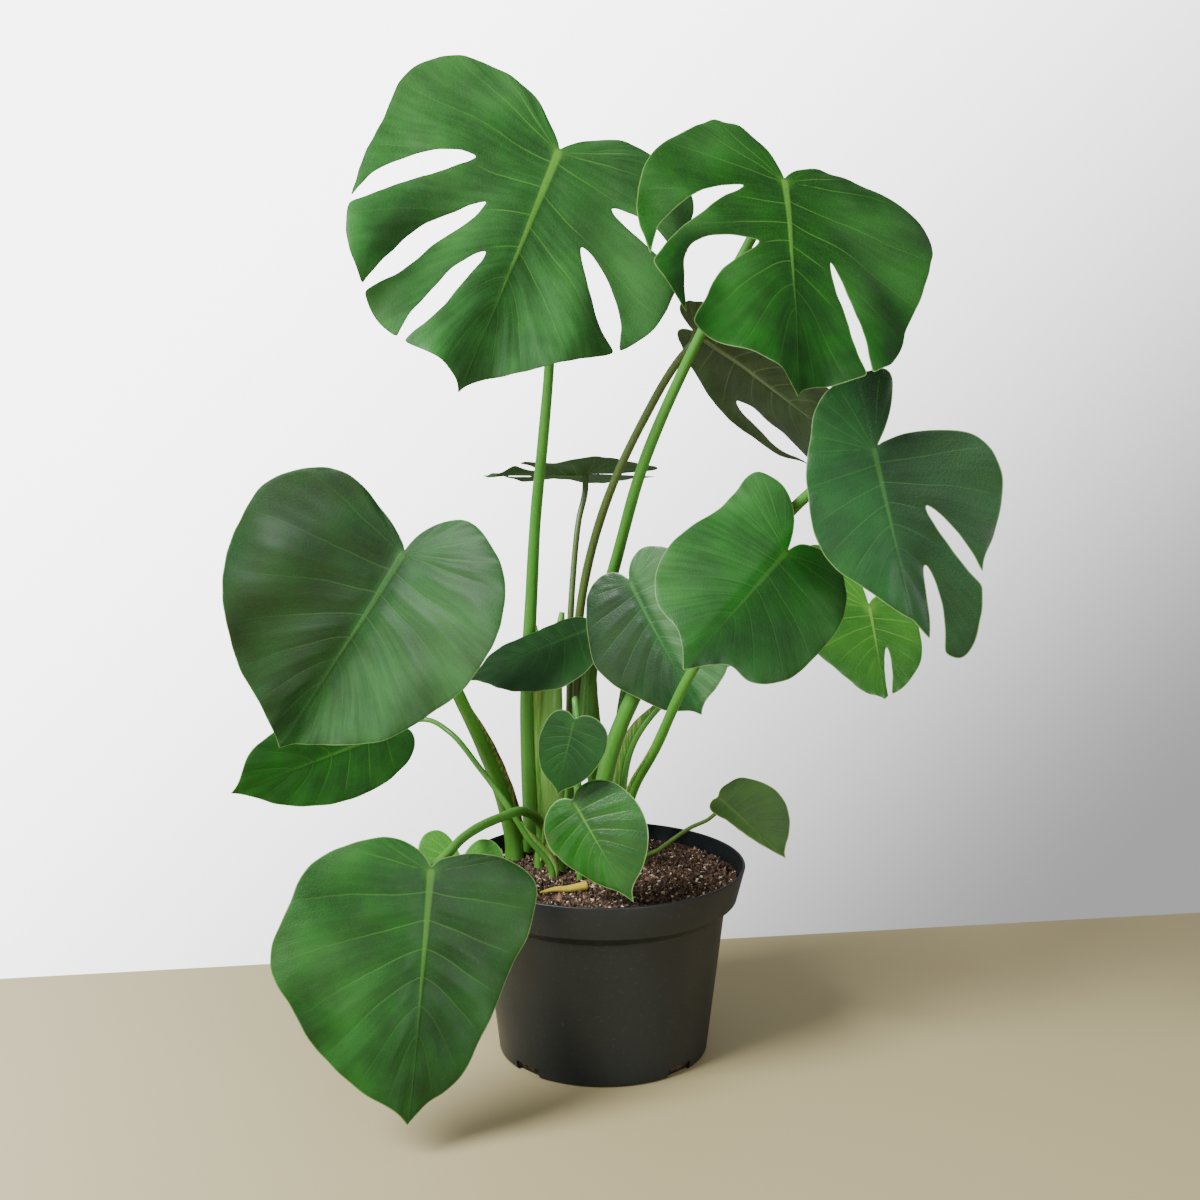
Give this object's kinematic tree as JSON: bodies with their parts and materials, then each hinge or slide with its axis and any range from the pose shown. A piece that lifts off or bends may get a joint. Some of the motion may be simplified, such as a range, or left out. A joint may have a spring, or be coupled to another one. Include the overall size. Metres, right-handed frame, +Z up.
{
  "type": "potted monstera plant",
  "caption": "Young split-leaf monstera growing in a round black nursery pot of potting soil, with large glossy heart-shaped and split leaves on long stalks",
  "frame": {"origin": "centre of the pot's flat base", "axes": "+Z up along the pot's axis and the stalks; the plant's showiest side faces -Y"},
  "size_m": [0.6373, 0.4429, 0.8618],
  "materials": {
    "pot_plastic": "satin",
    "peat": "matte",
    "leaf_green": "satin",
    "leaf_dark": "satin",
    "leaf_lime": "satin",
    "leaf_olive": "satin",
    "stalk_green": "satin",
    "sheath_yellow": "matte"
  },
  "bodies": {
    "root": {"pot": "pot_plastic", "soil": "peat", "leaf_top_left": "leaf_green", "stalk_top_left": "stalk_green", "leaf_top_right": "leaf_green", "stalk_top_right": "stalk_green", "leaf_back_right": "leaf_dark", "stalk_back_right": "stalk_green", "leaf_right_split": "leaf_dark", "stalk_right_split": "stalk_green", "leaf_mid_right": "leaf_green", "stalk_mid_right": "stalk_green", "leaf_mid_glossy": "leaf_green", "stalk_mid_glossy": "stalk_green", "leaf_lime": "leaf_lime", "stalk_lime": "stalk_green", "leaf_large_left": "leaf_dark", "stalk_large_left": "stalk_green", "leaf_low_left": "leaf_green", "stalk_low_left": "stalk_green", "leaf_front_hanging": "leaf_green", "stalk_front_hanging": "stalk_green", "leaf_rim_left": "leaf_lime", "stalk_rim_left": "stalk_green", "leaf_small_heart": "leaf_green", "stalk_small_heart": "stalk_green", "leaf_front_heart": "leaf_green", "stalk_front_heart": "stalk_green", "leaf_olive": "leaf_olive", "stalk_olive": "stalk_green", "leaf_far_flat": "leaf_dark", "stalk_far_flat": "stalk_green", "leaf_center_dark": "leaf_dark", "stalk_center_dark": "stalk_green", "leaf_seedling": "leaf_lime", "stalk_seedling": "stalk_green", "sheath": "stalk_green", "old_sheath": "sheath_yellow"}
  },
  "joints": []
}
